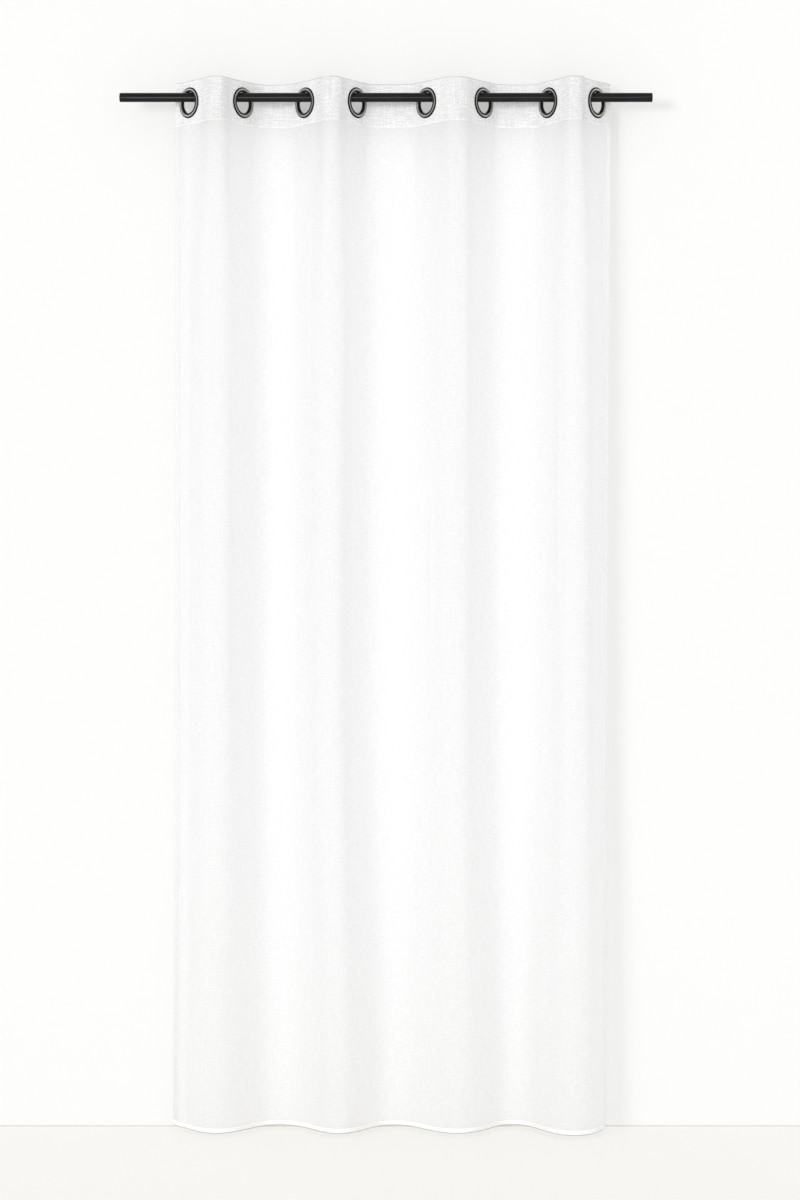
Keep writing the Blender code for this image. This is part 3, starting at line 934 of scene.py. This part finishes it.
def cloth_material(name, colour, cover, through, slub, weave, grain):
    """White linen-look cloth: upright slubs, a plain weave, light through it, and small see-through gaps.

    cover is the share that the yarn hides, through the share of light that passes the yarn, slub and weave
    how uneven both are, and grain how fine the slubs are.
    """
    made, tree, output = start_material(name, colour)
    cloth = node(tree, "ShaderNodeUVMap", uv_map="cloth").outputs["UV"]
    upright = cloth_noise(tree, cloth, UPRIGHT_SLUBS, grain, 3.0)
    fine = cloth_noise(tree, cloth, FINE_SLUBS, grain)
    across = cloth_noise(tree, cloth, CROSS_SLUBS, grain)
    cloud = cloth_noise(tree, cloth, CLOUDS, 1.0)
    yarn = threads(tree, cloth, THREAD_PITCH, UPRIGHT_SHARE)
    slubs = ramp(tree, upright, 0.34, 0.70, -0.7, 0.7)
    patterns = ((fine, 0.3, 0.7, 1.5), (across, 0.35, 0.68, 0.95), (cloud, 0.3, 0.7, 0.12))
    for pattern, low, high, swing in patterns:
        slubs = arithmetic(tree, "ADD", slubs, ramp(tree, pattern, low, high, -swing, swing))
    greyer = tuple(value * (1 - slub) for value in colour)
    colours = between(tree, ramp(tree, slubs, -SLUB_RANGE, SLUB_RANGE, 0.0, 1.0), greyer, colour)
    doubled = node(tree, "ShaderNodeAttribute", attribute_name="doubled").outputs["Fac"]
    lighter = node(tree, "ShaderNodeMix", data_type="RGBA")
    lighter.inputs["B"].default_value = (*DOUBLED_WHITE, 1.0)
    tree.links.new(doubled, lighter.inputs["Factor"])
    tree.links.new(colours, lighter.inputs["A"])
    # The tone mark scales the colour: painted light and shade set with each piece of cloth
    tones = node(tree, "ShaderNodeAttribute", attribute_name="tone").outputs["Fac"]
    toned = node(tree, "ShaderNodeVectorMath", operation="SCALE")
    tree.links.new(lighter.outputs["Result"], toned.inputs[0])
    tree.links.new(tones, toned.inputs["Scale"])
    colours = toned.outputs["Vector"]
    height = arithmetic(tree, "ADD", arithmetic(tree, "MULTIPLY", slubs, 0.35), yarn)
    normal = bump(tree, height, 0.00025, 0.35)

    surface = node(tree, "ShaderNodeBsdfPrincipled")
    surface.inputs["Roughness"].default_value = 0.85
    surface.inputs["Specular IOR Level"].default_value = 0.12
    surface.inputs["Sheen Weight"].default_value = 0.06
    surface.inputs["Sheen Roughness"].default_value = 0.5
    tree.links.new(colours, surface.inputs["Base Color"])
    tree.links.new(normal, surface.inputs["Normal"])
    light = node(tree, "ShaderNodeBsdfTranslucent")
    tree.links.new(colours, light.inputs["Color"])
    tree.links.new(normal, light.inputs["Normal"])
    body = node(tree, "ShaderNodeMixShader")
    tree.links.new(ramp(tree, doubled, 0.0, 1.0, through, through * HEM_THROUGH), body.inputs["Fac"])
    tree.links.new(surface.outputs["BSDF"], body.inputs[1])
    tree.links.new(light.outputs["BSDF"], body.inputs[2])
    if cover >= 1.0:
        tree.links.new(body.outputs["Shader"], output.inputs["Surface"])
        return made

    clear = node(tree, "ShaderNodeBsdfTransparent")
    swing = slub * 1.2
    covered = ramp(tree, slubs, -SLUB_RANGE, SLUB_RANGE, cover - swing, cover + swing)
    covered = arithmetic(tree, "ADD", covered, ramp(tree, yarn, 0.15, 0.6, -weave, weave * 0.5))
    covered = arithmetic(tree, "ADD", covered, arithmetic(tree, "MULTIPLY", doubled, (1 - cover) * 0.8))
    sheer = node(tree, "ShaderNodeMixShader")
    tree.links.new(ramp(tree, covered, 0.0, 1.0, 0.0, 1.0), sheer.inputs["Fac"])
    tree.links.new(clear.outputs["BSDF"], sheer.inputs[1])
    tree.links.new(body.outputs["Shader"], sheer.inputs[2])
    tree.links.new(sheer.outputs["Shader"], output.inputs["Surface"])
    return made


def thread_material():
    """White sewing thread, a little uneven by its twist."""
    made, tree, output = start_material("white_thread", (0.9, 0.9, 0.89))
    place = node(tree, "ShaderNodeTexCoord").outputs["Object"]
    twist = noise(tree, place, (2600.0, 2600.0, 2600.0), 1.0)
    surface = node(tree, "ShaderNodeBsdfPrincipled")
    surface.inputs["Roughness"].default_value = 0.6
    surface.inputs["Specular IOR Level"].default_value = 0.25
    colours = between(tree, twist, *THREAD_WHITES)
    tree.links.new(colours, surface.inputs["Base Color"])
    tree.links.new(surface.outputs["BSDF"], output.inputs["Surface"])
    return made


def metal_material():
    """Gunmetal, satin, dark in the groove; pale on the flange's crown and dark on the rims and in the
    barrel, partly its finish and partly a painted highlight on the crown and painted shade on the rims and
    in the barrel.
    """
    made, tree, output = start_material("gunmetal", (0.2, 0.19, 0.185))
    pale = node(tree, "ShaderNodeAttribute", attribute_name="pale").outputs["Fac"]
    place = node(tree, "ShaderNodeTexCoord").outputs["Object"]
    brushed = noise(tree, place, (900.0, 900.0, 900.0), 2.0)
    worn = noise(tree, place, (160.0, 160.0, 160.0), 3.0)
    share = arithmetic(tree, "MULTIPLY", pale, ramp(tree, worn, 0.3, 0.7, 0.82, 1.0))
    surface = node(tree, "ShaderNodeBsdfPrincipled")
    surface.inputs["Metallic"].default_value = 1.0
    surface.inputs["Specular Tint"].default_value = (0.35, 0.34, 0.33, 1.0)
    colours = between(tree, share, *METAL_COLOURS)
    tree.links.new(colours, surface.inputs["Base Color"])
    tree.links.new(ramp(tree, brushed, 0.3, 0.7, 0.26, 0.40), surface.inputs["Roughness"])
    tree.links.new(bump(tree, brushed, 0.00006, 0.25), surface.inputs["Normal"])
    tree.links.new(surface.outputs["BSDF"], output.inputs["Surface"])
    return made


def rod_material():
    """Smooth black paint, a little uneven, with faint marks where the eyelets slide."""
    made, tree, output = start_material("black_paint", (0.012, 0.012, 0.013))
    place = node(tree, "ShaderNodeTexCoord").outputs["Object"]
    skin = noise(tree, place, (420.0, 420.0, 420.0), 2.0)
    marks = noise(tree, place, (14.0, 900.0, 900.0), 3.0)
    surface = node(tree, "ShaderNodeBsdfPrincipled")
    surface.inputs["Specular IOR Level"].default_value = 0.12
    worn = ramp(tree, marks, 0.45, 0.75, 0.0, 1.0)
    colours = between(tree, worn, *PAINT_COLOURS)
    tree.links.new(colours, surface.inputs["Base Color"])
    tree.links.new(ramp(tree, marks, 0.35, 0.70, 0.24, 0.36), surface.inputs["Roughness"])
    tree.links.new(bump(tree, skin, 0.00010, 0.12), surface.inputs["Normal"])
    tree.links.new(surface.outputs["BSDF"], output.inputs["Surface"])
    return made


def shade_behind_heading(tree, axes):
    """How much of the backdrop's glow is left: less in the narrow gap behind the heading, painted shade
    there.
    """
    above_seam = ramp(tree, axes.outputs["Z"], *SHADE_STARTS_Z, 0.0, 1.0)
    below_top = ramp(tree, axes.outputs["Z"], *SHADE_ENDS_Z, 1.0, 0.0)
    sideways = arithmetic(tree, "SUBTRACT", axes.outputs["X"], SHADE_MIDDLE_X)
    from_middle = arithmetic(tree, "ABSOLUTE", sideways, 0.0)
    inside = arithmetic(tree, "MULTIPLY", above_seam, below_top)
    inside = arithmetic(tree, "MULTIPLY", inside, ramp(tree, from_middle, *SHADE_ENDS_X, 1.0, 0.0))
    return ramp(tree, inside, 0.0, 1.0, 1.0, SHADED_GLOW)


def stage_material(name, first, second, scale, glow, one_sided=False, foot_glow=1.0):
    """A matt surface that varies very slightly and glows faintly, more at its foot, where the extra glow is
    painted light.

    A one-sided one lets views from behind pass, and has painted shade in the gap behind the heading.
    """
    made, tree, output = start_material(name, second)
    place = node(tree, "ShaderNodeTexCoord").outputs["Object"]
    surface = node(tree, "ShaderNodeBsdfPrincipled")
    surface.inputs["Roughness"].default_value = 0.9
    surface.inputs["Specular IOR Level"].default_value = 0.1
    surface.inputs["Emission Color"].default_value = (*glow, 1.0)
    axes = node(tree, "ShaderNodeSeparateXYZ")
    tree.links.new(place, axes.inputs["Vector"])
    strength = ramp(tree, axes.outputs["Z"], FLOOR_Z, FLOOR_Z + FOOT_GLOW_HEIGHT, foot_glow, 1.0)
    if one_sided:
        strength = arithmetic(tree, "MULTIPLY", strength, shade_behind_heading(tree, axes))
    tree.links.new(strength, surface.inputs["Emission Strength"])
    mottling = noise(tree, place, (scale,) * 3, 3.0)
    tree.links.new(between(tree, mottling, first, second), surface.inputs["Base Color"])
    if not one_sided:
        tree.links.new(surface.outputs["BSDF"], output.inputs["Surface"])
        return made
    clear = node(tree, "ShaderNodeBsdfTransparent")
    sides = node(tree, "ShaderNodeMixShader")
    tree.links.new(node(tree, "ShaderNodeNewGeometry").outputs["Backfacing"], sides.inputs["Fac"])
    tree.links.new(surface.outputs["BSDF"], sides.inputs[1])
    tree.links.new(clear.outputs["BSDF"], sides.inputs[2])
    tree.links.new(sides.outputs["Shader"], output.inputs["Surface"])
    return made


def flat(name, corners, finish):
    """A flat piece of the stage."""
    mesh = bpy.data.meshes.new(name)
    mesh.from_pydata(corners, [], [tuple(range(len(corners)))])
    made = new_object(name, mesh, [finish])
    return made


def backdrop_strip(low, high):
    """The corners of a strip of the backdrop between two heights."""
    left, right = -WALL_HALF_WIDTH, WALL_HALF_WIDTH
    return [(left, WALL_Y, low), (right, WALL_Y, low), (right, WALL_Y, high), (left, WALL_Y, high)]


def floor_corners():
    left, right = -FLOOR_HALF_WIDTH, FLOOR_HALF_WIDTH
    front = [(left, FLOOR_FRONT_Y, FLOOR_Z), (right, FLOOR_FRONT_Y, FLOOR_Z)]
    return front + [(right, FLOOR_BACK_Y, FLOOR_Z), (left, FLOOR_BACK_Y, FLOOR_Z)]


def stage():
    """A pale floor, a white backdrop behind the cloth, and a thin grey strip at the backdrop's foot, a
    painted shadow line where it meets the floor.
    """
    floor = stage_material("pale_floor", *FLOOR_COLOURS, 170.0, FLOOR_GLOW)
    wall = stage_material(
        "white_backdrop", *WALL_COLOURS, 2.0, WALL_GLOW, one_sided=True, foot_glow=WALL_FOOT_GLOW
    )
    foot = stage_material("backdrop_shadow_line", *SHADOW_LINE_COLOURS, 3.0, FOOT_GLOW, one_sided=True)
    ground = flat("floor", floor_corners(), floor)
    flat("backdrop", backdrop_strip(FLOOR_Z + WALL_FOOT, WALL_TOP), wall)
    flat("backdrop_shadow_line", backdrop_strip(FLOOR_Z, FLOOR_Z + WALL_FOOT), foot)
    return ground


def camera():
    """The photo's own view, level and far off."""
    lens = bpy.data.cameras.new("camera")
    lens.sensor_width = CAMERA_SENSOR
    lens.lens = CAMERA_LENS
    made = bpy.data.objects.new("camera", lens)
    made.location = CAMERA_PLACE
    made.rotation_euler = (math.pi / 2, 0.0, 0.0)
    bpy.context.collection.objects.link(made)
    bpy.context.scene.camera = made


def receivers(name, lit):
    """A collection of the objects that one kind of light falls on."""
    found = bpy.data.collections.new(name)
    for made in lit:
        found.objects.link(made)
    return found


def place_light(light, place, aim):
    made = bpy.data.objects.new(light.name, light)
    made.location = place
    made.rotation_euler = aim.to_track_quat("-Z", "Y").to_euler()
    bpy.context.collection.objects.link(made)
    return made


def even_light():
    """White light all round, a little stronger from the front."""
    world = bpy.data.worlds.new("studio")
    bpy.context.scene.world = world
    world.use_nodes = True
    tree = world.node_tree
    towards_front = node(tree, "ShaderNodeVectorMath", operation="DOT_PRODUCT")
    towards_front.inputs[1].default_value = (0.0, -1.0, 0.0)
    tree.links.new(node(tree, "ShaderNodeTexCoord").outputs["Generated"], towards_front.inputs[0])
    strength = ramp(tree, towards_front.outputs["Value"], 0.0, 1.0, WORLD_SIDES, WORLD_FRONT)
    background = tree.nodes["Background"]
    background.inputs["Color"].default_value = (1.0, 1.0, 1.0, 1.0)
    tree.links.new(strength, background.inputs["Strength"])


def suns(lit_by_fill):
    """A soft key from the left, and a weak fill from the right that spares the backdrop."""
    for sun in SUNS:
        light = bpy.data.lights.new(sun.name, "SUN")
        light.energy = sun.strength
        light.angle = math.radians(sun.angle)
        made = place_light(light, (0.0, 0.0, 0.0), Vector(sun.direction))
        if sun.name == "fill":
            made.light_linking.receiver_collection = receivers("lit_by_fill", lit_by_fill)


def gloss_strips(bar):
    """Strips of light for the rod's gloss alone."""
    only_rod = receivers("lit_by_strips", [bar])
    for strip in STRIPS:
        light = bpy.data.lights.new(strip.name, "AREA")
        light.shape = "RECTANGLE"
        light.size = strip.width
        light.size_y = strip.height
        light.energy = strip.energy
        made = place_light(light, strip.place, -Vector(strip.place))
        made.light_linking.receiver_collection = only_rod


def plain_view():
    settings = bpy.context.scene.view_settings
    settings.view_transform = "Standard"
    settings.look = "None"
    settings.exposure = 0.0
    settings.gamma = 1.0


def main():
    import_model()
    camera()
    ground = stage()

    voile = cloth_material(
        "voile", VOILE_WHITE, cover=0.82, through=0.49, slub=0.030, weave=0.04, grain=0.9
    )
    heading_voile = cloth_material(
        "heading_voile", HEADING_WHITE, cover=1.0, through=0.17, slub=0.24, weave=0.0, grain=0.62
    )
    thread = thread_material()
    cloth = panel(voile)
    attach(cloth, "root")
    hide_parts("panel")
    strip = heading(heading_voile)
    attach(strip, "root")
    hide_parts("heading")
    hem, seam, sides = stitching(thread)
    for piece in (hem, seam, sides):
        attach(piece, "root")
    rings = eyelets(metal_material())
    bar = rod(rod_material())
    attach(bar, "root")
    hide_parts("rod")
    even_light()
    suns([ground, cloth, strip, hem, seam, sides, *rings, bar])
    gloss_strips(bar)
    plain_view()


main()
